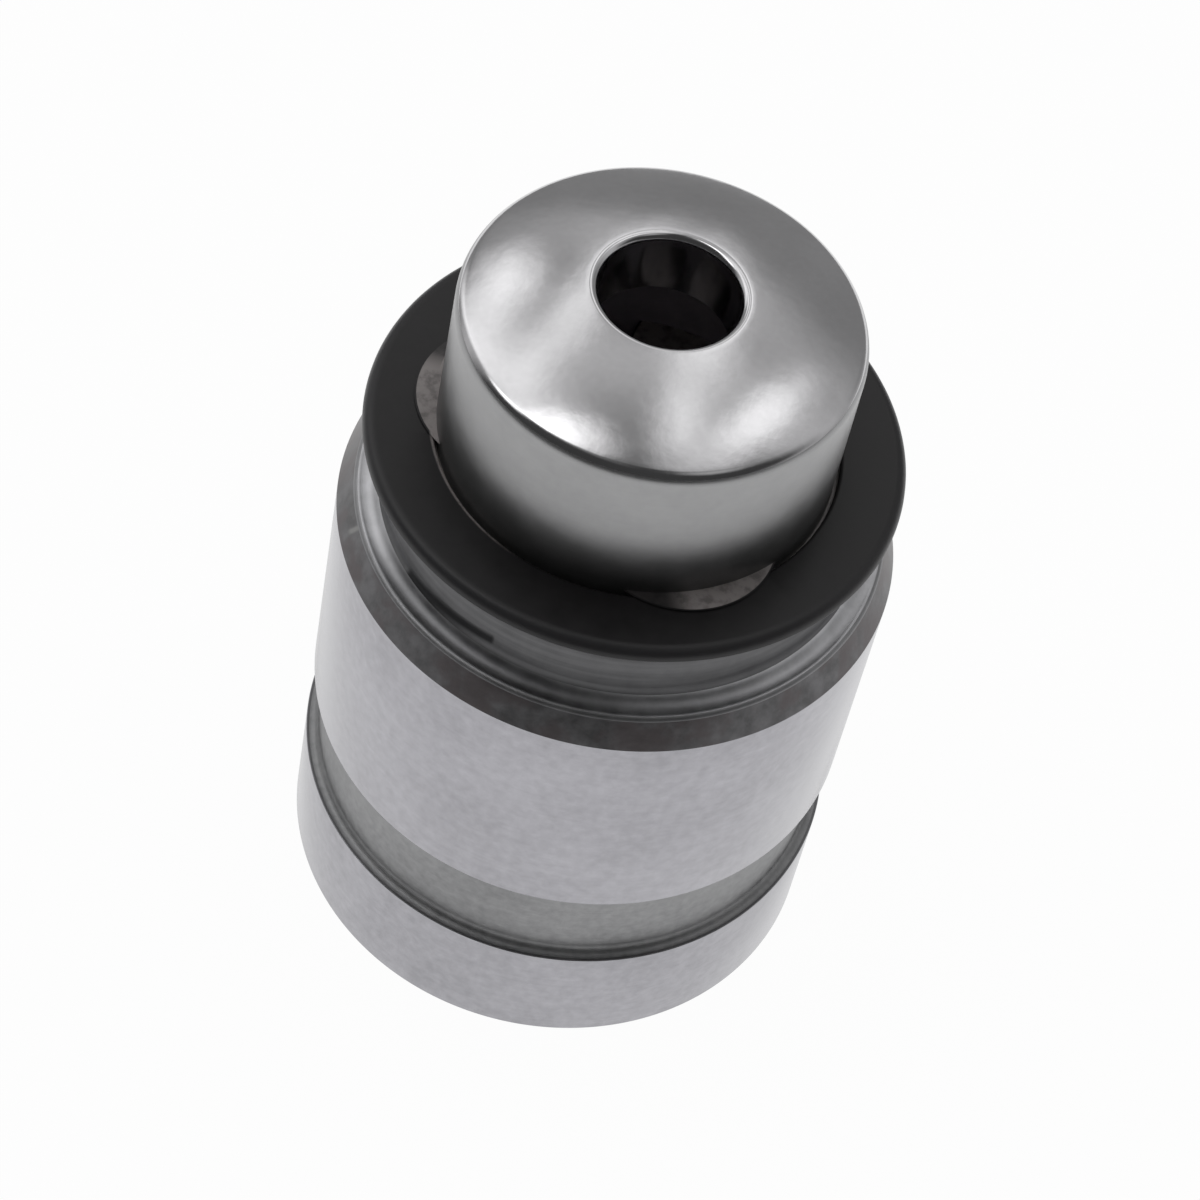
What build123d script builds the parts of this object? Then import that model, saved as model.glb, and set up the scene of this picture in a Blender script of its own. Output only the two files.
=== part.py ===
"""Hydraulic valve lifter for an overhead-camshaft engine, standing on its flat end.

Millimetres, +Z up. The origin is the centre of the flat end that rests in the
cylinder head; the domed end that carries the rocker points up.
"""
import os
from math import asin, cos, degrees, radians, sin, sqrt, tan

from build123d import *

os.makedirs("parts", exist_ok=True)

# Housing, outside
body_diameter = 17.0
ring_height = 4.20
groove_height = 3.32
groove_depth = 0.40
groove_root_round = 0.30
land_height = 8.29
shoulder_rise = 0.97
shoulder_ledge = 0.70
neck_wall = 0.97
neck_height = 2.86
base_edge = 0.06
neck_root_round = 0.55
shoulder_crest_round = 0.20

# Housing, inside
body_wall = 2.17
floor_thickness = 1.50
bore_floor_round = 0.30
bore_mouth_chamfer = 0.30
feed_hole_diameter = 1.50
feed_hole_margin = 0.25
feed_groove_depth = 0.20
feed_groove_margin = 0.10

# Plungers
nose_step = 0.36
nose_height = 5.42
dome_radius = 13.40
dome_edge = 0.50
oil_hole_diameter = 4.10
oil_hole_lip = 0.24
plunger_wall = 2.00
roof_thickness = 2.20
drill_point_angle = 118.0
shoulder_chamfer = 0.12
foot_chamfer = 0.30
foot_notch_width = 1.30
foot_notch_height = 0.70
foot_notch_count = 4

# Lower plunger and its valve seat
plunger_travel = 2.80
skirt_depth = 4.00
skirt_wall = 1.00
seal_land = 2.00
waist_depth = 0.30
web_thickness = 1.60
cup_depth = 1.60
seat_angle = 45.0
seat_mouth_diameter = 4.00
valve_hole_diameter = 2.30

# Check valve
ball_diameter = 3.50
ball_lift = 0.25
cage_sheet = 0.35
cage_flange_sheet = 0.40
cage_window_width = 1.40
cage_window_count = 4
cage_bend_round = 0.30
cage_spring_room = 1.13
ball_spring_wire = 0.25
ball_spring_diameter = 2.10
ball_spring_turns = 3.0

# Plunger spring
spring_wire = 0.80
spring_turns = 3.6
spring_end_cut = 0.20

# Retaining cap
cap_sheet = 0.38
cap_overhang = 0.775
crimp_angle = 36.4
nose_gap = 0.11
notch_depth = 0.60
notch_radius = 2.80
notch_count = 3
notch_start_angle = -61.0

# Clearances between the pieces
plunger_clearance = 0.03
cap_clearance = 0.02
cage_clearance = 0.05
ball_side_clearance = 0.12
seat_clearance = 0.005
spring_clearance = 0.02
spring_side_clearance = 0.30

# How far a cutting shape reaches past the material it cuts
cut_margin = 0.50

# Heights that follow from the sizes above
body_radius = body_diameter / 2
bore_radius = body_radius - body_wall
neck_radius = bore_radius + neck_wall
plunger_radius = bore_radius - plunger_clearance
nose_radius = plunger_radius - nose_step
reservoir_radius = plunger_radius - plunger_wall
oil_hole_radius = oil_hole_diameter / 2
groove_top = ring_height + groove_height
land_top = groove_top + land_height
shoulder_top = land_top + shoulder_rise
housing_top = shoulder_top + neck_height

skirt_bottom = floor_thickness + plunger_travel + bore_floor_round
seat_face = skirt_bottom + skirt_depth
web_top = seat_face + web_thickness
plunger_joint = web_top + cup_depth
dome_rim = housing_top + nose_height
dome_center = dome_rim - sqrt(dome_radius**2 - nose_radius**2)
hole_rim = dome_center + sqrt(dome_radius**2 - oil_hole_radius**2)

feed_hole_z = groove_top - feed_hole_diameter / 2 - feed_hole_margin
feed_groove_half = feed_hole_diameter / 2 + feed_groove_margin

# Cap crimp, which follows the lip round the top of the neck
cap_hole_radius = nose_radius + nose_gap
cap_radius = neck_radius + cap_overhang
crimp = radians(crimp_angle)
crimp_reach = cap_radius - cap_sheet * cos(crimp) - neck_radius - cap_clearance
crimp_length = crimp_reach / sin(crimp)
crimp_out_r = cap_radius - crimp_length * sin(crimp)
crimp_out_z = housing_top - crimp_length * cos(crimp)
crimp_in_r = crimp_out_r - cap_sheet * cos(crimp)
crimp_in_z = crimp_out_z + cap_sheet * sin(crimp)
cap_corner_r = cap_radius - cap_sheet * cos(crimp) - cap_sheet * sin(crimp) * tan(crimp)
lip_radius = cap_corner_r - cap_clearance / cos(crimp)
lip_bottom = housing_top - (lip_radius - neck_radius) / tan(crimp)

# Ball on its conical seat
ball_radius = ball_diameter / 2
seat_tilt = radians(seat_angle)
seat_contact_r = ball_radius * cos(seat_tilt)
seat_mouth_radius = seat_mouth_diameter / 2
valve_hole_radius = valve_hole_diameter / 2
seat_contact_z = seat_face + (seat_mouth_radius - seat_contact_r) / tan(seat_tilt)
seat_top = seat_face + (seat_mouth_radius - valve_hole_radius) / tan(seat_tilt)
ball_center = seat_contact_z - ball_radius * sin(seat_tilt) - seat_clearance / sin(seat_tilt)

cage_bore = ball_radius + ball_side_clearance
cage_floor = ball_center - ball_radius - ball_lift - cage_spring_room
flange_bottom = seat_face - cage_flange_sheet
flange_radius = plunger_radius - skirt_wall - cage_clearance

# Housing: turned cup with the oil groove outside, the feed groove in its bore,
# the shoulder and the necked top
with BuildPart() as housing:
    with BuildSketch(Plane.XZ):
        with BuildLine():
            Polyline(
                (0, 0),
                (body_radius - base_edge, 0),
                (body_radius, base_edge),
                (body_radius, ring_height),
                (body_radius - groove_depth, ring_height),
                (body_radius - groove_depth, groove_top),
                (body_radius, groove_top),
                (body_radius, land_top),
                (neck_radius + shoulder_ledge, shoulder_top),
                (neck_radius, shoulder_top),
                (neck_radius, lip_bottom),
                (lip_radius, housing_top),
                (bore_radius + bore_mouth_chamfer, housing_top),
                (bore_radius, housing_top - bore_mouth_chamfer),
                (bore_radius, feed_hole_z + feed_groove_half + feed_groove_depth),
                (bore_radius + feed_groove_depth, feed_hole_z + feed_groove_half),
                (bore_radius + feed_groove_depth, feed_hole_z - feed_groove_half),
                (bore_radius, feed_hole_z - feed_groove_half - feed_groove_depth),
                (bore_radius, floor_thickness),
                (0, floor_thickness),
                close=True,
            )
        make_face()
    revolve(axis=Axis.Z)

    # rounded corners: foot of the groove, crest of the shoulder, foot of the neck and bore floor
    groove_root = housing.edges().filter_by(GeomType.CIRCLE).filter_by(
        lambda e: abs(e.radius - body_radius + groove_depth) < 1e-4 and abs(e.center().Z - ring_height) < 1e-4
    )
    fillet(groove_root, radius=groove_root_round)
    crest = housing.edges().filter_by(GeomType.CIRCLE).filter_by(
        lambda e: abs(e.radius - neck_radius - shoulder_ledge) < 1e-4
    )
    fillet(crest, radius=shoulder_crest_round)
    neck_root = housing.edges().filter_by(GeomType.CIRCLE).filter_by(
        lambda e: abs(e.radius - neck_radius) < 1e-4 and abs(e.center().Z - shoulder_top) < 1e-4
    )
    fillet(neck_root, radius=neck_root_round)
    floor_corner = housing.edges().filter_by(GeomType.CIRCLE).filter_by(
        lambda e: abs(e.radius - bore_radius) < 1e-4 and abs(e.center().Z - floor_thickness) < 1e-4
    )
    fillet(floor_corner, radius=bore_floor_round)

    # feed hole from the outer oil groove, at the back
    with BuildSketch(Plane.XZ.offset(-body_radius)):
        with Locations((0, feed_hole_z)):
            Circle(feed_hole_diameter / 2)
    extrude(amount=body_radius - bore_radius, mode=Mode.SUBTRACT)

housing.part.label = "housing"
export_step(housing.part, "parts/housing.step")

# Retaining cap: pressed sheet ring, its edge crimped under the lip of the neck
with BuildPart() as retaining_cap:
    with BuildSketch(Plane.XZ):
        with BuildLine():
            cap_top_line = Line(
                (cap_hole_radius, housing_top + cap_sheet),
                (cap_radius - cap_sheet, housing_top + cap_sheet),
            )
            CenterArc((cap_radius - cap_sheet, housing_top), cap_sheet, 0, 90)
            Polyline(
                (cap_radius, housing_top),
                (crimp_out_r, crimp_out_z),
                (crimp_in_r, crimp_in_z),
                (cap_corner_r, housing_top),
                (cap_hole_radius, housing_top),
                cap_top_line @ 0,
            )
        make_face()
    revolve(axis=Axis.Z)

    # scalloped assembly notches in the inner edge
    with BuildSketch(Plane.XY.offset(housing_top - cap_sheet)):
        with PolarLocations(
            cap_hole_radius + notch_depth - notch_radius, notch_count, start_angle=notch_start_angle
        ):
            Circle(notch_radius)
    extrude(amount=3 * cap_sheet, mode=Mode.SUBTRACT)

retaining_cap.part.label = "retaining_cap"
export_step(retaining_cap.part, "parts/retaining_cap.step")

# Upper plunger: domed nose, shoulder held under the cap, oil reservoir inside
with BuildPart() as upper_plunger:
    with BuildSketch(Plane.XZ):
        with BuildLine():
            wall = Polyline(
                (0, plunger_joint),
                (plunger_radius - foot_chamfer, plunger_joint),
                (plunger_radius, plunger_joint + foot_chamfer),
                (plunger_radius, housing_top - shoulder_chamfer),
                (plunger_radius - shoulder_chamfer, housing_top),
                (nose_radius, housing_top),
                (nose_radius, dome_rim),
            )
            dome_start = degrees(asin((dome_rim - dome_center) / dome_radius))
            CenterArc((0, dome_center), dome_radius, dome_start, 90 - dome_start)
            Line((0, dome_center + dome_radius), wall @ 0)
        make_face()
    revolve(axis=Axis.Z)
    rim = upper_plunger.edges().filter_by(GeomType.CIRCLE).filter_by(
        lambda e: abs(e.center().Z - dome_rim) < 1e-4
    )
    fillet(rim, radius=dome_edge)

    # reservoir drilled from below, with its drill point
    roof_inside = hole_rim - roof_thickness
    point_rise = (reservoir_radius - oil_hole_radius) / tan(radians(drill_point_angle / 2))
    with BuildSketch(Plane.XZ):
        with BuildLine():
            Polyline(
                (0, plunger_joint),
                (reservoir_radius, plunger_joint),
                (reservoir_radius, roof_inside - point_rise),
                (oil_hole_radius, roof_inside),
                (0, roof_inside),
                close=True,
            )
        make_face()
    revolve(axis=Axis.Z, mode=Mode.SUBTRACT)

    # oil hole through the dome, with a rounded lip
    with BuildSketch(Plane.XY.offset(roof_inside - cut_margin)):
        Circle(oil_hole_radius)
    extrude(amount=roof_thickness + 2 * cut_margin, mode=Mode.SUBTRACT)
    lip = upper_plunger.edges().filter_by(GeomType.CIRCLE).filter_by(
        lambda e: abs(e.radius - oil_hole_radius) < 1e-4 and abs(e.center().Z - hole_rim) < 1e-3
    )
    fillet(lip, radius=oil_hole_lip)

    # feed notches across the foot
    with BuildSketch(Plane.XY.offset(plunger_joint)):
        with PolarLocations((plunger_radius + reservoir_radius) / 2, foot_notch_count):
            Rectangle(plunger_radius, foot_notch_width)
        Circle(reservoir_radius - cut_margin, mode=Mode.SUBTRACT)
    extrude(amount=foot_notch_height, mode=Mode.SUBTRACT)

upper_plunger.part.label = "upper_plunger"
export_step(upper_plunger.part, "parts/upper_plunger.step")

# Lower plunger: sealing skirt, oil waist, web with the conical valve seat
with BuildPart() as lower_plunger:
    with BuildSketch(Plane.XZ):
        with BuildLine():
            Polyline(
                (plunger_radius - skirt_wall, skirt_bottom),
                (plunger_radius, skirt_bottom),
                (plunger_radius, skirt_bottom + seal_land),
                (plunger_radius - waist_depth, skirt_bottom + seal_land + waist_depth),
                (plunger_radius - waist_depth, plunger_joint),
                (reservoir_radius, plunger_joint),
                (reservoir_radius, web_top),
                (valve_hole_radius, web_top),
                (valve_hole_radius, seat_top),
                (seat_mouth_radius, seat_face),
                (plunger_radius - skirt_wall, seat_face),
                close=True,
            )
        make_face()
    revolve(axis=Axis.Z)

lower_plunger.part.label = "lower_plunger"
export_step(lower_plunger.part, "parts/lower_plunger.step")

# Check ball
with BuildPart() as check_ball:
    with Locations((0, 0, ball_center)):
        Sphere(ball_radius)

check_ball.part.label = "check_ball"
export_step(check_ball.part, "parts/check_ball.step")

# Ball cage: drawn cup with a flange and windows for the oil
with BuildPart() as ball_cage:
    with BuildSketch(Plane.XZ):
        with BuildLine():
            Polyline(
                (0, cage_floor - cage_sheet),
                (cage_bore + cage_sheet, cage_floor - cage_sheet),
                (cage_bore + cage_sheet, flange_bottom),
                (flange_radius, flange_bottom),
                (flange_radius, seat_face),
                (cage_bore, seat_face),
                (cage_bore, cage_floor),
                (0, cage_floor),
                close=True,
            )
        make_face()
    revolve(axis=Axis.Z)
    bends = ball_cage.edges().filter_by(GeomType.CIRCLE).filter_by(
        lambda e: abs(e.radius - cage_bore - cage_sheet) < 1e-4
    )
    fillet(bends, radius=cage_bend_round)

    # windows through the cup wall
    window_low = cage_floor + cage_bend_round
    window_high = flange_bottom - cage_bend_round
    with BuildSketch(Plane.XY.offset(window_low)):
        with PolarLocations(cage_bore + cage_sheet / 2, cage_window_count, start_angle=45):
            Rectangle(4 * cage_sheet, cage_window_width)
    extrude(amount=window_high - window_low, mode=Mode.SUBTRACT)

ball_cage.part.label = "ball_cage"
export_step(ball_cage.part, "parts/ball_cage.step")

# Ball spring: light coil between the cage floor and the ball
ball_spring_radius = ball_spring_diameter / 2
ball_spring_low = cage_floor + ball_spring_wire / 2 + spring_clearance
ball_wire_reach = ball_radius + ball_spring_wire / 2 + spring_clearance
ball_spring_high = ball_center - sqrt(ball_wire_reach**2 - ball_spring_radius**2)
with BuildPart() as ball_spring:
    with BuildLine() as ball_coil:
        Helix(
            pitch=(ball_spring_high - ball_spring_low) / ball_spring_turns,
            height=ball_spring_high - ball_spring_low,
            radius=ball_spring_radius,
            center=(0, 0, ball_spring_low),
        )
    with BuildSketch(Plane(origin=ball_coil.line @ 0, z_dir=ball_coil.line % 0)):
        Circle(ball_spring_wire / 2)
    sweep(is_frenet=True)

ball_spring.part.label = "ball_spring"
export_step(ball_spring.part, "parts/ball_spring.step")

# Plunger spring: coil between the bore floor and the cage flange, its ends ground flat
coil_outer = plunger_radius - skirt_wall - spring_side_clearance
coil_radius = coil_outer - spring_wire / 2
coil_low = floor_thickness + spring_wire / 2 - spring_end_cut
coil_high = flange_bottom - spring_wire / 2 + spring_end_cut
with BuildPart() as plunger_spring:
    with BuildLine() as coil:
        Helix(
            pitch=(coil_high - coil_low) / spring_turns,
            height=coil_high - coil_low,
            radius=coil_radius,
            center=(0, 0, coil_low),
        )
    with BuildSketch(Plane(origin=coil.line @ 0, z_dir=coil.line % 0)):
        Circle(spring_wire / 2)
    sweep(is_frenet=True)

    # grind both ends level
    with BuildSketch(Plane.XY.offset(floor_thickness)):
        Circle(coil_radius + spring_wire)
    extrude(amount=flange_bottom - floor_thickness, mode=Mode.INTERSECT)

plunger_spring.part.label = "plunger_spring"
export_step(plunger_spring.part, "parts/plunger_spring.step")
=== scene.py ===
import bpy
import bmesh
import math
from mathutils import Matrix, Vector


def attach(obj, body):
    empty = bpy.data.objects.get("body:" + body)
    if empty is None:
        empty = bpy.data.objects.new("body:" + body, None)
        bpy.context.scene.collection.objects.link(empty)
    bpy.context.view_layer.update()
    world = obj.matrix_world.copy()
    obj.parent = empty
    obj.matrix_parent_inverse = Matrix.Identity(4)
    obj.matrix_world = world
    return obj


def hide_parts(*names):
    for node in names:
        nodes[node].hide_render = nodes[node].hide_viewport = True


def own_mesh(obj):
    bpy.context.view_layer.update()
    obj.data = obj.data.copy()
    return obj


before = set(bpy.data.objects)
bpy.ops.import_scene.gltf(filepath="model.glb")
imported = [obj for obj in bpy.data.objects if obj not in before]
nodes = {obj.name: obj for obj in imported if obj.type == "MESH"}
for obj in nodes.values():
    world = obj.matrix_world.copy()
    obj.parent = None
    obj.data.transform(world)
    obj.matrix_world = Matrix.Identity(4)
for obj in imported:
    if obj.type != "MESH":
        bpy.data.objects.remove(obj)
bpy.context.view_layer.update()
scene = bpy.context.scene
rad = math.radians
MM = 0.001

# Sizes of the object in millimetres, as in the solids.
# R stands for a radius, Z, TOP and LOW for a height above the closed end.
# Housing
BODY_R = 8.5
BASE_EDGE = 0.06
RING_TOP = 4.20
GROOVE_R = 8.1
GROOVE_TOP = 7.52
GROOVE_ROOT = 0.30
LAND_TOP = 15.81
CREST_R, CREST_Z = 8.0, 16.78
CREST_ROUND = 0.20
CREST_BAND_R, CREST_BAND_Z = 8.064, 16.655
NECK_R = 7.30
NECK_ROOT = 0.55
TOP = 19.64
BORE_R = 6.33
BORE_MOUTH = 0.30
BORE_ROOT = 0.30
FLOOR = 1.5
FEED_R, FEED_Z = 0.75, 6.52
FEED_GROOVE_R = 6.53
FEED_GROOVE_HALF = 0.85
FEED_GROOVE_SLOPE = 0.20

# Upper plunger
PLUNGER_R = 6.30
FOOT_CHAMFER = 0.30
SHOULDER_CHAMFER = 0.12
NOSE_R = 5.94
RESERVOIR_R = 4.30
JOINT_Z = 11.8
DOME_RIM, DOME_R = 25.059, 13.399
DOME_Z = DOME_RIM - math.sqrt(DOME_R**2 - NOSE_R**2)
DOME_EDGE = 0.50
HOLE_R, HOLE_LIP = 2.05, 0.24
ROOF = 24.09
DRILL_POINT = 1.352
FOOT_NOTCH_HALF, FOOT_NOTCH_TOP = 0.65, 12.5
FOOT_NOTCH_FROM, FOOT_NOTCH_TO = 3.6, 7.0

# Retaining cap, with its crimp that follows the lip round the top of the neck
CAP_T = 0.38
CAP_R = 8.075
CAP_HOLE_R = 6.05
CAP_GAP = 0.02
CRIMP = rad(36.4)
CRIMP_OUT_R = NECK_R + CAP_T * math.cos(CRIMP) + CAP_GAP
CRIMP_OUT_Z = TOP - (CAP_R - CRIMP_OUT_R) / math.tan(CRIMP)
CRIMP_IN_R = CRIMP_OUT_R - CAP_T * math.cos(CRIMP)
CRIMP_IN_Z = CRIMP_OUT_Z + CAP_T * math.sin(CRIMP)
CAP_CORNER_R = CAP_R - CAP_T / math.cos(CRIMP)
LIP_R = CAP_CORNER_R - CAP_GAP / math.cos(CRIMP)
LIP_LOW = TOP - (LIP_R - NECK_R) / math.tan(CRIMP)
SCALLOP_R, SCALLOP_X = 2.80, 3.85
SCALLOP_BEVEL = 0.90
SCALLOP_ANGLES = (-61.0, 59.0, 179.0)

# Springs
SPRING_TOP, PLUNGER_TRAVEL = 8.20, 2.80
SPRING_R, SPRING_WIRE, SPRING_TURNS = 4.60, 0.80, 3.6
SPRING_SUNK = 0.20
BALL_SPRING, BALL_LIFT = (4.988, 6.665), 0.25
BALL_SPRING_R, BALL_WIRE, BALL_TURNS = 1.05, 0.25, 3.0
BALL_SPRING_GAP = 0.02

# Short straight beside a rounded root, and before a closed profile meets itself
SHORT = 0.01

# Colours laid over the metals
BLACK = (0.0, 0.0, 0.0, 1.0)
BROWN_STAIN = (0.106, 0.093, 0.095, 1.0)
PALE_SCRATCH = (0.30, 0.30, 0.29, 1.0)
DARK_SCORE = (0.014, 0.014, 0.015, 1.0)
# Painted highlight near the cap's rim
PAINTED_RIM_SHEEN = (0.034, 0.033, 0.035, 1.0)
# Uncoated metal on the cap's bevels, also used as a painted highlight
BARE_EDGE_AND_HIGHLIGHT = (0.34, 0.312, 0.306, 1.0)


# Procedural materials
class Nodes:
    """Builds a node material with short calls."""

    def __init__(self, name, base=None):
        self.mat = base or bpy.data.materials.new(name)
        self.mat.use_nodes = True
        self.tree = self.mat.node_tree
        self.tree.nodes.clear()

    def add(self, kind, inputs=None, **settings):
        node = self.tree.nodes.new(kind)
        for key, value in settings.items():
            setattr(node, key, value)
        for key, value in (inputs or {}).items():
            if isinstance(value, bpy.types.NodeSocket):
                self.tree.links.new(value, node.inputs[key])
            else:
                node.inputs[key].default_value = value
        return node

    def math(self, op, *values):
        return self.add("ShaderNodeMath", dict(enumerate(values)), operation=op).outputs[0]

    def plus(self, value, weight, rest):
        """Value times weight, plus the rest."""
        return self.math("MULTIPLY_ADD", value, weight, rest)

    def sum(self, *terms):
        """Weighted sum of (value, weight) pairs."""
        total = 0.0
        for value, weight in terms:
            total = self.plus(value, weight, total)
        return total

    def product(self, first, *others):
        for other in others:
            first = self.math("MULTIPLY", first, other)
        return first

    def length(self, a, b):
        """Length of the plane vector (a, b)."""
        return self.math("SQRT", self.plus(a, a, self.math("MULTIPLY", b, b)))

    def distance(self, a, b):
        return self.math("ABSOLUTE", self.math("SUBTRACT", a, b))

    def vec(self, op, a, b):
        return self.add("ShaderNodeVectorMath", {0: a, 1: b}, operation=op).outputs[0]

    def step(self, value, low, high, to_low=0.0, to_high=1.0):
        """Smooth change from to_low to to_high as the value goes from low to high."""
        sockets = {"Value": value, "From Min": low, "From Max": high, "To Min": to_low, "To Max": to_high}
        return self.add("ShaderNodeMapRange", sockets, interpolation_type="SMOOTHSTEP").outputs[0]

    def ramp(self, value, dark, light, low=0.34, high=0.66):
        """Colour that goes from dark to light as the value goes from low to high."""
        node = self.add("ShaderNodeValToRGB", {"Fac": value})
        for element, position, level in zip(node.color_ramp.elements, (low, high), (dark, light)):
            element.position = position
            element.color = (*level, 1.0)
        return node.outputs["Color"]

    def mix(self, fac, a, b):
        return self.add("ShaderNodeMix", {0: fac, 6: a, 7: b}, data_type="RGBA").outputs[2]

    def noise(self, vector, scale, detail, rough):
        sockets = {"Vector": vector, "Scale": scale, "Detail": detail, "Roughness": rough}
        return self.add("ShaderNodeTexNoise", sockets).outputs["Fac"]

    def place(self):
        """Sets the position in millimetres, its parts x, y and z, and its angle about the lifter's axis."""
        pos = self.add("ShaderNodeTexCoord").outputs["Object"]
        scaled = self.add("ShaderNodeVectorMath", {0: pos, "Scale": 1.0 / MM}, operation="SCALE")
        self.mm = scaled.outputs[0]
        self.x, self.y, self.z = self.add("ShaderNodeSeparateXYZ", {0: self.mm}).outputs
        self.angle = self.math("ARCTAN2", self.y, self.x)
        return self

    def round_the_axis(self, along, across):
        """Position that stretches a noise round the axis: along for x and y, across for z."""
        return self.vec("MULTIPLY", self.mm, (along, along, across))

    def surface(self, color, rough, height, depth, metallic=1.0, specular=0.5):
        """Principled surface with a bump of the given depth in mm."""
        bump = self.add("ShaderNodeBump", {"Strength": 1.0, "Distance": depth * MM, "Height": height})
        sockets = {
            "Base Color": color,
            "Metallic": metallic,
            "Roughness": rough,
            "Normal": bump.outputs[0],
            "Specular IOR Level": specular,
        }
        bsdf = self.add("ShaderNodeBsdfPrincipled", sockets)
        self.add("ShaderNodeOutputMaterial", {"Surface": bsdf.outputs[0]})
        return self.mat


def steel(name, dark, light, rough, mottle, grain, depth=0.004, painted_shade=None, metallic=1.0):
    """Turned or ground steel: mottled colour, faint grain round the axis, fine bump.
    Mottle and grain are noise scales. Painted shade, if given, is (height from, height to, share of black
    at the first): a darkening towards the first height."""
    n = Nodes(name).place()
    spots = n.noise(n.mm, mottle, 3.0, 0.55)
    lines = n.noise(n.round_the_axis(0.35, 7.0), grain, 2.0, 0.5)
    patches = n.noise(n.mm, 0.30, 2.0, 0.5)
    blend = n.sum((spots, 0.50), (lines, 0.12), (patches, 0.38))
    color = n.ramp(blend, dark, light)
    # Painted shade: darker towards the lower height
    if painted_shade:
        low, high, share = painted_shade
        color = n.mix(n.step(n.z, low, high, share, 0.0), color, BLACK)
    level = n.plus(blend, 0.20, rough - 0.10)
    return n.surface(color, level, n.sum((lines, 0.4), (spots, 0.6)), depth, metallic)


ground = steel("ground_steel", (0.318, 0.314, 0.335), (0.417, 0.413, 0.440), 0.21, 2.6, 1.6)
ring_steel = steel("ring_steel", (0.300, 0.297, 0.316), (0.405, 0.401, 0.426), 0.21, 2.8, 1.6)
# The groove's steel takes painted shade towards its root at the ring's top.
groove_steel = steel(
    "groove_steel", (0.232, 0.233, 0.237), (0.355, 0.356, 0.361), 0.50, 3.4, 2.4,
    depth=0.010, painted_shade=(RING_TOP + 0.05, RING_TOP + 0.75, 0.08),
)
# Painted shade: a darker steel for the ring's top ledge inside the groove.
ledge_shade_steel = steel("ledge_shade_steel", (0.150, 0.150, 0.154), (0.200, 0.200, 0.206), 0.50, 3.0, 2.0)
crest_steel = steel("crest_steel", (0.240, 0.240, 0.246), (0.330, 0.330, 0.338), 0.46, 1.6, 1.4)
end_steel = steel("end_steel", (0.36, 0.36, 0.37), (0.47, 0.47, 0.48), 0.34, 3.0, 2.0, depth=0.006)
bore_steel = steel("bore_steel", (0.30, 0.30, 0.31), (0.42, 0.42, 0.43), 0.28, 2.0, 3.0, depth=0.005)
collar_steel = steel(
    "collar_steel", (0.36, 0.34, 0.33), (0.46, 0.44, 0.43), 0.60, 1.6, 1.4, metallic=0.0
)
# The nose's wall takes painted shade and a painted reflection of the black cap, darker towards the cap.
plunger_wall = steel(
    "plunger_wall", (0.325, 0.325, 0.329), (0.385, 0.385, 0.389), 0.33, 1.6, 1.4,
    depth=0.0008, painted_shade=(TOP + 1.4, TOP + 3.0, 0.50), metallic=0.85,
)
foot_steel = steel("foot_steel", (0.33, 0.31, 0.29), (0.46, 0.43, 0.40), 0.32, 2.0, 1.5, depth=0.006)
# Inside of the plunger: its light grey is painted light, standing in for the light that reaches into the
# hole.
inside_painted_light = steel(
    "inside_painted_light", (0.38, 0.35, 0.38), (0.46, 0.43, 0.46), 0.70, 1.6, 1.4, metallic=0.0
)


def make_shoulder_steel():
    """Dark heat-treated steel with brown stains, and one pale scratch that leans across it."""
    scratch_at, lean, mid_z = rad(-157.5), rad(3.0), 16.25
    n = Nodes("shoulder_steel").place()
    spots = n.noise(n.mm, 1.6, 4.0, 0.6)
    stains = n.step(n.noise(n.mm, 0.7, 3.0, 0.6), 0.44, 0.62)
    color = n.ramp(spots, (0.092, 0.091, 0.093), (0.156, 0.154, 0.159))
    color = n.mix(n.product(stains, 0.75), color, BROWN_STAIN)
    off = n.distance(n.angle, n.plus(n.z, lean, scratch_at - lean * mid_z))
    scratch = n.step(off, rad(0.2), rad(1.0), 0.50, 0.0)
    scratch = n.product(scratch, n.step(n.z, mid_z - 0.10, mid_z + 0.10))
    color = n.mix(scratch, color, PALE_SCRATCH)
    return n.surface(color, n.plus(spots, 0.16, 0.24), spots, 0.006)


def make_root_steel():
    """Foot of the neck: light steel, with painted shade that darkens it on the front left."""
    n = Nodes("root_steel").place()
    spots = n.noise(n.mm, 1.1, 4.0, 0.6)
    color = n.ramp(spots, (0.43, 0.43, 0.443), (0.58, 0.58, 0.597))
    # Painted shade, darker on the front left
    begins = n.step(n.plus(spots, 0.3, n.angle), rad(-146.0), rad(-128.0))
    ends = n.step(n.angle, rad(-105.0), rad(-70.0), 1.0, 0.0)
    color = n.mix(n.product(begins, ends, 0.55), color, BLACK)
    return n.surface(color, n.plus(spots, 0.20, 0.34), spots, 0.006)


def make_neck_steel():
    """Dull grey, with faint bands round the neck and one dark scored streak that climbs."""
    streak_from, streak_to = rad(-140.5), rad(-111.0)
    streak_low, streak_rise = 17.05, 0.86
    n = Nodes("neck_steel").place()
    bands = n.noise(n.round_the_axis(0.10, 2.6), 1.5, 3.0, 0.55)
    spots = n.noise(n.mm, 1.2, 3.0, 0.6)
    blend = n.sum((bands, 0.65), (spots, 0.35))
    color = n.ramp(blend, (0.105, 0.105, 0.108), (0.180, 0.180, 0.185))
    streak_z = n.plus(n.math("SUBTRACT", n.angle, streak_from), streak_rise, streak_low)
    across = n.step(n.distance(n.z, streak_z), 0.05, 0.32, 1.0, 0.0)
    begins = n.step(n.angle, streak_from, streak_from + rad(2.0))
    ends = n.step(n.angle, streak_to - rad(1.0), streak_to, 1.0, 0.0)
    streak = n.product(across, begins, ends)
    color = n.mix(n.product(streak, 0.85), color, DARK_SCORE)
    return n.surface(color, n.plus(blend, 0.20, 0.36), n.plus(streak, -2.0, bands), 0.008)


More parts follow.
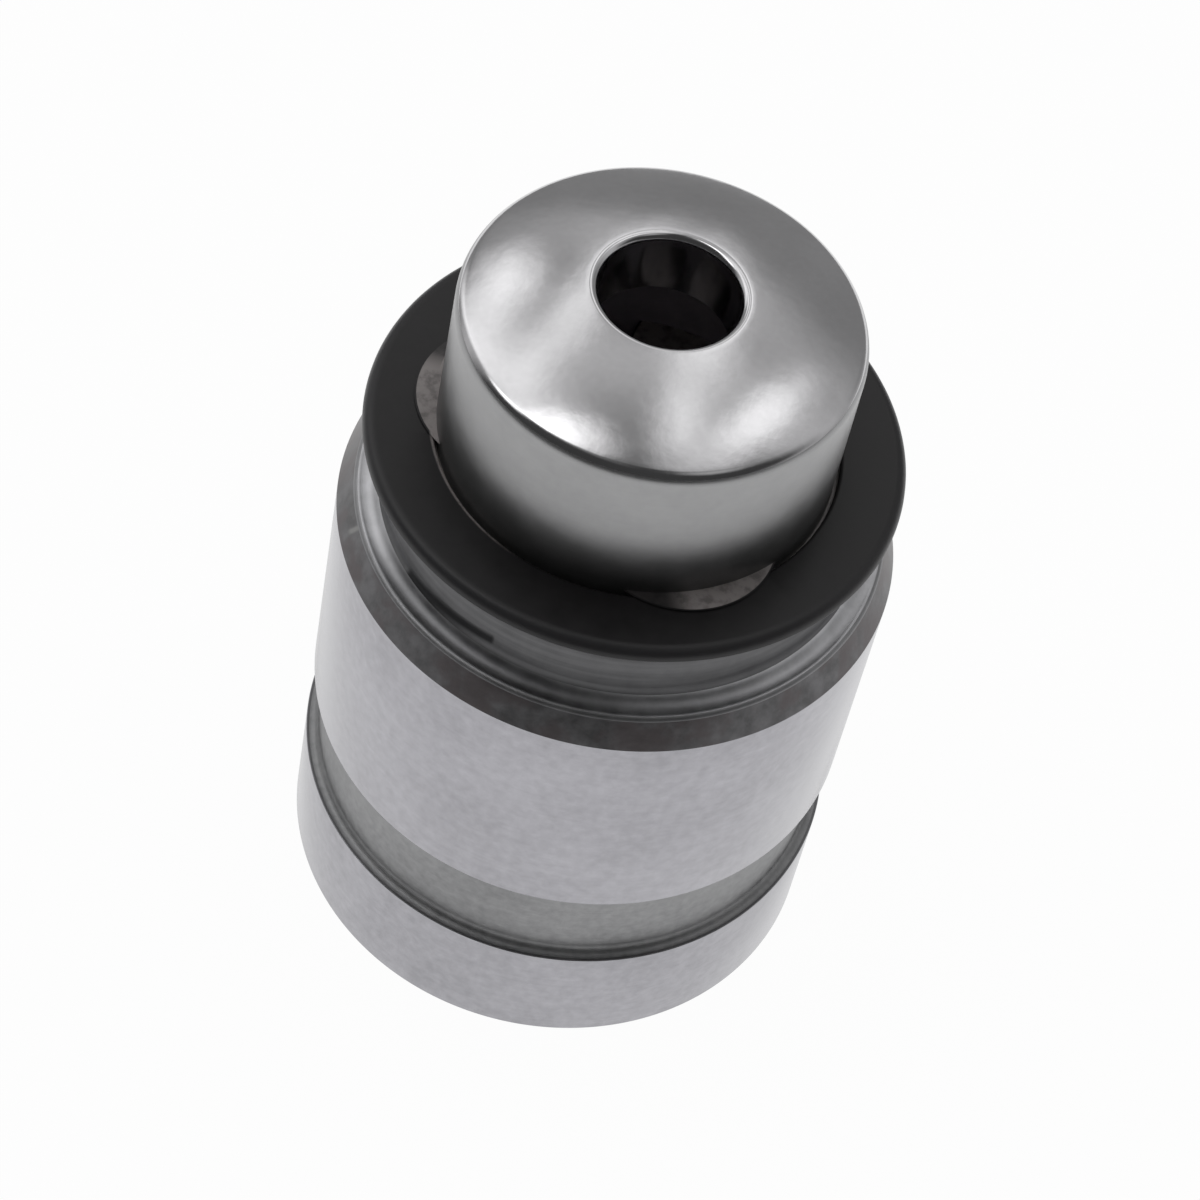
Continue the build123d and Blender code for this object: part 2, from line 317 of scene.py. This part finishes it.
def make_dome_steel():
    """Polished, with faint haze."""
    n = Nodes("dome_steel").place()
    haze = n.noise(n.mm, 0.40, 3.0, 0.5)
    pits = n.noise(n.mm, 5.0, 2.0, 0.6)
    blend = n.sum((haze, 0.7), (pits, 0.3))
    color = n.ramp(blend, (0.545, 0.540, 0.550), (0.615, 0.610, 0.622), 0.32, 0.68)
    return n.surface(color, n.plus(haze, 0.06, 0.11), n.sum((haze, 2.0), (pits, 0.10)), 0.012)


def make_black_oxide():
    """Black oxide on pressed sheet, soft sheen, a painted highlight near the rim, uncoated on the notches'
    bevels with painted shade on one side of each, and a painted highlight along the hole's left edge."""
    n = Nodes("black_oxide").place()
    radius = n.length(n.x, n.y)
    blend = n.sum((n.noise(n.mm, 1.6, 4.0, 0.6), 0.6), (n.noise(n.mm, 0.40, 2.0, 0.5), 0.4))
    color = n.ramp(blend, (0.0120, 0.0112, 0.0120), (0.0185, 0.0172, 0.0182))
    # Painted highlight: lighter near the rim
    color = n.mix(n.step(radius, CAP_R - 0.42, CAP_R - 0.12), color, PAINTED_RIM_SHEEN)

    # Painted highlight along the hole's edge, on the left only
    hole_edge_highlight = n.step(radius, CAP_HOLE_R + 0.07, CAP_HOLE_R + 0.15, 1.0, 0.0)
    back_left = n.step(n.angle, rad(150.0), rad(170.0))
    front_left = n.step(n.angle, rad(-135.0), rad(-112.0), 1.0, 0.0)
    hole_edge_highlight = n.product(hole_edge_highlight, n.math("MAXIMUM", back_left, front_left))

    # Bevels of the notches, with painted shade on one side of each: the angle is wrapped so that one notch
    # stands for all three
    half_share = rad(60.0)
    turn = n.math("SUBTRACT", n.angle, rad(SCALLOP_ANGLES[0]))
    turn = n.math("WRAP", turn, half_share, -half_share)
    along = n.plus(n.product(radius, n.math("COSINE", turn)), 1.0, -SCALLOP_X)
    beside = n.product(radius, n.math("SINE", turn))
    bevel_and_shade = n.step(n.length(along, beside), SCALLOP_R - 0.03, SCALLOP_R, 1.0, 0.0)
    # Painted shade darkens one side of each notch's bevel
    bevel_and_shade = n.product(bevel_and_shade, n.step(beside, -1.3, -0.3, 0.08, 1.0))

    # Uncoated bevels and the painted highlight on the hole's edge share one colour
    patchy = n.step(n.noise(n.mm, 2.2, 3.0, 0.6), 0.30, 0.55, 0.55, 1.0)
    bare_and_painted_light = n.product(n.math("MAXIMUM", bevel_and_shade, hole_edge_highlight), patchy)
    color = n.mix(bare_and_painted_light, color, BARE_EDGE_AND_HIGHLIGHT)
    return n.surface(color, n.plus(blend, 0.20, 0.28), blend, 0.008, metallic=0.0, specular=0.30)


shoulder_steel = make_shoulder_steel()
root_steel = make_root_steel()
neck_steel = make_neck_steel()
dome_steel = make_dome_steel()
black_oxide = make_black_oxide()


# Mesh builders
def arc(cx, cz, radius, start, end, steps, mat):
    """Profile points on an arc between two angles in degrees."""
    turns = [rad(start + (end - start) * k / steps) for k in range(steps + 1)]
    return [(cx + radius * math.cos(t), cz + radius * math.sin(t), 0, mat) for t in turns]


def rounded(points, steps):
    """Profile points (radius, height, corner round, material) with each corner turned into an arc.
    An arc takes at most the longest share of each side beside it."""
    longest = 0.98
    out = []
    for i, (r, z, fillet, mat) in enumerate(points):
        if not fillet or i in (0, len(points) - 1):
            out.append((r, z, mat))
            continue
        p = Vector((r, z))
        a = Vector(points[i - 1][:2]) - p
        b = Vector(points[i + 1][:2]) - p
        turn = a.angle(b)
        reach = min(fillet / math.tan(turn / 2), a.length * longest, b.length * longest)
        radius = reach * math.tan(turn / 2)
        middle = (a.normalized() + b.normalized()).normalized()
        centre = p + middle * (radius / math.sin(turn / 2))
        u = p + a.normalized() * reach - centre
        v = p + b.normalized() * reach - centre
        sweep = u.angle(v)
        for k in range(steps + 1):
            t = k / steps
            w = (u * math.sin((1 - t) * sweep) + v * math.sin(t * sweep)) / math.sin(sweep)
            out.append((centre.x + w.x, centre.y + w.y, mat if t > 0.5 else points[i - 1][3]))
    return out


def circle(radius, count, cx=0.0, cy=0.0):
    turns = [2 * math.pi * k / count for k in range(count)]
    return [(cx + radius * math.cos(t), cy + radius * math.sin(t)) for t in turns]


def turned(axis, degrees):
    return Matrix.Rotation(rad(degrees), 4, axis)


def add_piece(name, bm, materials=()):
    mesh = bpy.data.meshes.new(name)
    bm.to_mesh(mesh)
    bm.free()
    for material in materials:
        mesh.materials.append(material)
    piece = bpy.data.objects.new(name, mesh)
    scene.collection.objects.link(piece)
    return piece


def lathe(name, profile, materials, segments=256, closed=False):
    """A closed turned mesh. Each profile point carries the material of the band that follows it."""
    bm = bmesh.new()
    turns = [2 * math.pi * k / segments for k in range(segments)]
    rings = []
    for r, z, _ in profile:
        around = turns if r else [0.0]
        points = [(r * math.cos(t) * MM, r * math.sin(t) * MM, z * MM) for t in around]
        rings.append([bm.verts.new(point) for point in points])
    pairs = list(zip(rings, rings[1:], profile))
    if closed:
        pairs.append((rings[-1], rings[0], profile[-1]))
    for low, high, (_, _, mat) in pairs:
        for k in range(segments):
            j = (k + 1) % segments
            if len(low) == 1:
                corners = (low[0], high[j], high[k])
            elif len(high) == 1:
                corners = (low[k], low[j], high[0])
            else:
                corners = (low[k], low[j], high[j], high[k])
            bm.faces.new(corners).material_index = mat
    bmesh.ops.recalc_face_normals(bm, faces=bm.faces)
    return add_piece(name, bm, materials)


def coil(name, radius, wire, turns, ground, sunk, material):
    """Round wire on a helix. Ground is the two heights that its ends are cut to,
    and sunk is how far inside them the wire's middle line begins and ends."""
    sides, steps = 16, round(turns * 40)
    low, high = ground
    rise = high - low - 2 * sunk
    lean = math.atan2(rise, 2 * math.pi * radius * turns)
    bm = bmesh.new()
    rings = []
    for i in range(steps + 1):
        turn = 2 * math.pi * turns * i / steps
        outward = Vector((math.cos(turn), math.sin(turn), 0.0))
        middle = outward * radius + Vector((0.0, 0.0, low + sunk + rise * i / steps))
        upward = Vector((outward.y * math.sin(lean), -outward.x * math.sin(lean), math.cos(lean)))
        ring = []
        for px, py in circle(wire / 2, sides):
            point = middle + outward * px + upward * py
            point.z = min(max(point.z, low), high)
            ring.append(bm.verts.new(point * MM))
        rings.append(ring)
    for near, far in zip(rings, rings[1:]):
        for k in range(sides):
            j = (k + 1) % sides
            bm.faces.new((near[k], near[j], far[j], far[k]))
    bm.faces.new(list(reversed(rings[0])))
    bm.faces.new(rings[-1])
    bmesh.ops.recalc_face_normals(bm, faces=bm.faces)
    return add_piece(name, bm, [material])


def cut(piece, outline, low, high, matrix, upper_outline=None):
    """Cuts a closed block over an outline, turned by the matrix, out of the piece."""
    bm = bmesh.new()
    bottom = [bm.verts.new((px * MM, py * MM, low * MM)) for px, py in outline]
    top = [bm.verts.new((px * MM, py * MM, high * MM)) for px, py in upper_outline or outline]
    bm.faces.new(list(reversed(bottom)))
    bm.faces.new(top)
    for k in range(len(outline)):
        j = (k + 1) % len(outline)
        bm.faces.new((bottom[k], bottom[j], top[j], top[k]))
    bmesh.ops.transform(bm, matrix=matrix, verts=bm.verts)
    cutter = add_piece("cutter", bm)
    mod = piece.modifiers.new("cut", "BOOLEAN")
    mod.object = cutter
    mod.operation = "DIFFERENCE"
    mod.solver = "EXACT"
    graph = bpy.context.evaluated_depsgraph_get()
    piece_mesh = bpy.data.meshes.new_from_object(piece.evaluated_get(graph))
    piece.modifiers.clear()
    piece.data = piece_mesh
    bpy.data.objects.remove(cutter)


def finish(piece, node, body, sharp=32):
    """Shading, sharp at edges that turn by more than the given degrees, and the place in the frame."""
    piece.data.polygons.foreach_set("use_smooth", [True] * len(piece.data.polygons))
    piece.data.set_sharp_from_angle(angle=rad(sharp))
    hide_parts(node)
    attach(piece, body)


# Housing. Profiles list radius, height, corner round and the material of the band that follows.
GROUND, RING, GROOVE, SHADED_LEDGE, SHOULDER, CREST, ROOT, NECK, BORE, END = range(10)
housing_steels = [
    ground, ring_steel, groove_steel, ledge_shade_steel, shoulder_steel,
    crest_steel, root_steel, neck_steel, bore_steel, end_steel,
]
feed_low, feed_high = FEED_Z - FEED_GROOVE_HALF, FEED_Z + FEED_GROOVE_HALF
housing_profile = rounded(
    [
        (0.0, 0.0, 0, END),
        (BODY_R - BASE_EDGE, 0.0, 0, RING),
        (BODY_R, BASE_EDGE, 0.02, RING),
        # The ledge at the groove's foot takes painted shade
        (BODY_R, RING_TOP, 0.03, SHADED_LEDGE),
        (GROOVE_R + GROOVE_ROOT + SHORT, RING_TOP, 0, GROOVE),
        (GROOVE_R, RING_TOP, GROOVE_ROOT, GROOVE),
        (GROOVE_R, GROOVE_TOP, 0.05, GROOVE),
        (BODY_R, GROOVE_TOP, 0.035, GROUND),
        (BODY_R, LAND_TOP, 0.03, SHOULDER),
        (CREST_BAND_R, CREST_BAND_Z, 0, CREST),
        (CREST_R, CREST_Z, CREST_ROUND, ROOT),
        (NECK_R + NECK_ROOT + SHORT, CREST_Z, 0, ROOT),
        (NECK_R, CREST_Z, NECK_ROOT, NECK),
        (NECK_R, LIP_LOW, 0.05, NECK),
        (LIP_R, TOP, 0.03, NECK),
        (BORE_R + BORE_MOUTH, TOP, 0.03, BORE),
        (BORE_R, TOP - BORE_MOUTH, 0.03, BORE),
        (BORE_R, feed_high + FEED_GROOVE_SLOPE, 0, BORE),
        (FEED_GROOVE_R, feed_high, 0, BORE),
        (FEED_GROOVE_R, feed_low, 0, BORE),
        (BORE_R, feed_low - FEED_GROOVE_SLOPE, 0, BORE),
        (BORE_R, FLOOR, BORE_ROOT, BORE),
        (0.0, FLOOR, 0, BORE),
    ],
    steps=6,
)
housing = lathe("lifter_body", housing_profile, housing_steels)
inside, outside = BORE_R - 0.1, BODY_R + 0.5
cut(housing, circle(FEED_R, 48, 0.0, -FEED_Z), inside, outside, turned("X", -90))
finish(housing, "housing", "housing")

# Retaining cap, in one material
cap_profile = rounded(
    [
        (CAP_HOLE_R, TOP, 0, 0),
        (CAP_HOLE_R, TOP + CAP_T, 0.12, 0),
        (CAP_R, TOP + CAP_T, 0.36, 0),
        (CAP_R, TOP, 0.10, 0),
        (CRIMP_OUT_R, CRIMP_OUT_Z, 0.06, 0),
        (CRIMP_IN_R, CRIMP_IN_Z, 0.06, 0),
        (CAP_CORNER_R, TOP, 0.05, 0),
        (CAP_HOLE_R + SHORT, TOP, 0, 0),
    ],
    steps=7,
)
cap = lathe("retaining_cap_ring", cap_profile, [black_oxide], segments=384, closed=True)
past = 0.05
scallop_foot = circle(SCALLOP_R - SCALLOP_BEVEL * (CAP_T + past), 96, SCALLOP_X)
scallop_top = circle(SCALLOP_R + SCALLOP_BEVEL * past, 96, SCALLOP_X)
for degrees in SCALLOP_ANGLES:
    cut(cap, scallop_foot, TOP - past, TOP + CAP_T + past, turned("Z", degrees), scallop_top)
finish(cap, "retaining_cap", "housing", sharp=28)

# Upper plunger, with tangent arcs at the dome's edge and at the lip of its hole.
# The wall's material reaches up the edge's arc as far as the edge turn, in degrees.
WALL, DOME, INNER, FOOT, COLLAR = range(5)
plunger_steels = [plunger_wall, dome_steel, inside_painted_light, foot_steel, collar_steel]
EDGE_TURN = 36.0
edge_r = NOSE_R - DOME_EDGE
edge_z = DOME_Z + math.sqrt((DOME_R - DOME_EDGE) ** 2 - edge_r**2)
lip_r = HOLE_R + HOLE_LIP
lip_z = DOME_Z + math.sqrt((DOME_R - HOLE_LIP) ** 2 - lip_r**2)
dome_start = math.degrees(math.atan2(edge_z - DOME_Z, edge_r))
dome_end = math.degrees(math.atan2(lip_z - DOME_Z, lip_r))
plunger_profile = rounded(
    [
        (RESERVOIR_R, JOINT_Z, 0, FOOT),
        (PLUNGER_R - FOOT_CHAMFER, JOINT_Z, 0.02, FOOT),
        (PLUNGER_R, JOINT_Z + FOOT_CHAMFER, 0.02, FOOT),
        (PLUNGER_R, TOP - SHOULDER_CHAMFER, 0.03, FOOT),
        (PLUNGER_R - SHOULDER_CHAMFER, TOP, 0.03, COLLAR),
        (NOSE_R, TOP, 0.04, WALL),
    ]
    + arc(edge_r, edge_z, DOME_EDGE, 0.0, EDGE_TURN, 6, WALL)[:-1]
    + arc(edge_r, edge_z, DOME_EDGE, EDGE_TURN, dome_start, 7, DOME)
    + arc(0.0, DOME_Z, DOME_R, dome_start, dome_end, 30, DOME)[1:-1]
    + arc(lip_r, lip_z, HOLE_LIP, dome_end, 180.0, 12, DOME)
    + [
        (HOLE_R, ROOF, 0.02, INNER),
        (RESERVOIR_R, ROOF - DRILL_POINT, 0.02, INNER),
        (RESERVOIR_R, JOINT_Z + SHORT, 0, INNER),
    ],
    steps=6,
)
plunger = lathe("plunger_nose", plunger_profile, plunger_steels, closed=True)
notch = [
    (FOOT_NOTCH_FROM, -FOOT_NOTCH_HALF), (FOOT_NOTCH_TO, -FOOT_NOTCH_HALF),
    (FOOT_NOTCH_TO, FOOT_NOTCH_HALF), (FOOT_NOTCH_FROM, FOOT_NOTCH_HALF),
]
below = JOINT_Z - 1.0
for degrees in (0, 90, 180, 270):
    cut(plunger, notch, below, FOOT_NOTCH_TOP, turned("Z", degrees))
finish(plunger, "upper_plunger", "upper_plunger")

# Springs
spring_wire = steel("spring_wire", (0.20, 0.205, 0.215), (0.32, 0.325, 0.335), 0.34, 4.0, 2.0)
ends = (FLOOR, SPRING_TOP)
spring = coil("return_coil", SPRING_R, SPRING_WIRE, SPRING_TURNS, ends, SPRING_SUNK, spring_wire)
finish(spring, "plunger_spring", "housing")
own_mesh(spring)

fine_wire = steel("fine_wire", (0.30, 0.30, 0.31), (0.42, 0.42, 0.43), 0.30, 6.0, 2.0, depth=0.002)
seat, top = BALL_SPRING
ends = (seat + BALL_SPRING_GAP, top)
spring = coil("ball_coil", BALL_SPRING_R, BALL_WIRE, BALL_TURNS, ends, BALL_WIRE / 2, fine_wire)
finish(spring, "ball_spring", "lower_plunger")
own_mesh(spring)

# The other inner pieces keep their solids and take their own finish
inner_finish = {
    "lower_plunger": steel("seat_steel", (0.38, 0.38, 0.39), (0.50, 0.50, 0.51), 0.30, 2.5, 2.0, 0.005),
    "check_ball": steel("ball_steel", (0.55, 0.55, 0.56), (0.66, 0.66, 0.67), 0.12, 2.0, 1.0, 0.001),
    "ball_cage": steel("cage_sheet", (0.34, 0.34, 0.34), (0.48, 0.48, 0.48), 0.36, 3.0, 1.5, 0.006),
}
for name, material in inner_finish.items():
    for material_slot in nodes[name].material_slots:
        material_slot.material = material

# Floor: a disc of white paper, its radius in metres, that keeps the part's shadow
STAGE_R = 0.25
WHITE_SHARE = 0.97
PAPER, WHITE = (0.88, 0.88, 0.88, 1.0), (1.0, 1.0, 1.0, 1.0)
n = Nodes("floor_paper")
paths = n.add("ShaderNodeLightPath")
seen = n.math("MAXIMUM", paths.outputs["Is Camera Ray"], paths.outputs["Is Glossy Ray"])
seen = n.math("MAXIMUM", seen, paths.outputs["Is Transmission Ray"])
paper = n.add("ShaderNodeBsdfDiffuse", {"Color": PAPER})
glow = n.add("ShaderNodeEmission", {"Color": WHITE, "Strength": 1.0})
sockets = {0: n.product(seen, WHITE_SHARE), 1: paper.outputs[0], 2: glow.outputs[0]}
n.add("ShaderNodeOutputMaterial", {"Surface": n.add("ShaderNodeMixShader", sockets).outputs[0]})
bm = bmesh.new()
bmesh.ops.create_circle(bm, cap_ends=True, radius=STAGE_R, segments=96)
floor = add_piece("floor", bm, [n.mat])

# Light: a soft grey studio, dark on the camera's side, with long soft lights round the zenith.
# Directions are drawn on a plan of the sky, with the zenith at 0 and the horizon at 1.
# Each light is a soft ellipse: (azimuth, elevation), half length, half width, turn on the plan, strength.
# The lights, the front, zenith and back levels and the front fade come from a fit to the brightness
# seen on the dome in the photograph. The side level and the other fades are given, not fitted.
SOFT_LIGHTS = [
    ((130, 35.5), 0.211, 0.119, 92, 1.17),
    ((150, 29.3), 0.816, 0.183, 132, 0.95),
    ((-166, 64.1), 0.247, 0.088, 1, 2.56),
    ((-172, 43.9), 0.131, 0.132, 168, 2.49),
    ((78, 49.2), 0.411, 0.110, 94, 0.91),
    ((25, 61.9), 0.311, 0.073, 64, 1.09),
    ((-35, 57.9), 0.187, 0.158, 76, 0.47),
    ((111, 47.5), 0.466, 0.094, 69, 0.81),
    ((8, 80.9), 0.168, 0.095, 95, 0.78),
    ((95, 35.2), 0.508, 0.213, 159, 0.33),
]
FRONT, ZENITH, BACK, SIDE = ((level, level, level, 1.0) for level in (0.06, 0.69, 0.28, 0.50))
FRONT_FADE, BACK_FADE, SIDE_FADE = (-0.165, 0.217), (0.05, 0.55), (0.60, 0.95)
LOWEST_LIFT = 0.3

world = bpy.data.worlds.new("studio")
scene.world = world
n = Nodes("studio", base=world)
direction = n.add("ShaderNodeTexCoord").outputs["Generated"]
dx, dy, dz = n.add("ShaderNodeSeparateXYZ", {0: direction}).outputs
lift = n.math("MAXIMUM", n.math("ADD", dz, 1.0), LOWEST_LIFT)
plan_x, plan_y = n.math("DIVIDE", dx, lift), n.math("DIVIDE", dy, lift)
plan = n.add("ShaderNodeCombineXYZ", {0: plan_x, 1: plan_y}).outputs[0]
room = n.mix(n.step(plan_y, *FRONT_FADE), FRONT, ZENITH)
room = n.mix(n.step(plan_y, *BACK_FADE), room, BACK)
room = n.mix(n.step(plan_x, *SIDE_FADE), room, SIDE)
glow = 0.0
for (azimuth, elevation), half_length, half_width, lie, strength in SOFT_LIGHTS:
    reach = math.tan(rad(90 - elevation) / 2)
    sockets = {
        "Vector": plan,
        "Location": (reach * math.cos(rad(azimuth)), reach * math.sin(rad(azimuth)), 0.0),
        "Rotation": (0.0, 0.0, rad(lie)),
        "Scale": (half_length, half_width, 1.0),
    }
    local = n.add("ShaderNodeMapping", sockets, vector_type="TEXTURE").outputs[0]
    off = n.add("ShaderNodeVectorMath", {0: local}, operation="LENGTH").outputs["Value"]
    glow = n.math("ADD", n.step(off, 0.0, 1.0, strength, 0.0), glow)
back = n.add("ShaderNodeBackground", {"Color": n.vec("ADD", room, glow), "Strength": 1.0})
n.add("ShaderNodeOutputWorld", {"Surface": back.outputs[0]})

# Camera, at the photograph's viewing angle
CAMERA_RIGHT = Vector((0.97342007, 0.18062827, 0.14080766))
CAMERA_UP = Vector((-0.229027, 0.76771376, 0.59846656))
CAMERA_AT = Vector((0.04956, -69.78839, 101.30032))
camera = bpy.data.cameras.new("camera")
camera.lens = 109.464
camera.sensor_width = 36.0
camera.clip_start = 0.005
camera.clip_end = 20.0
eye = bpy.data.objects.new("camera", camera)
turn = Matrix((CAMERA_RIGHT, CAMERA_UP, CAMERA_RIGHT.cross(CAMERA_UP))).transposed()
eye.matrix_world = Matrix.Translation(CAMERA_AT * MM) @ turn.to_4x4()
scene.collection.objects.link(eye)
scene.camera = eye
scene.view_settings.view_transform = "Standard"
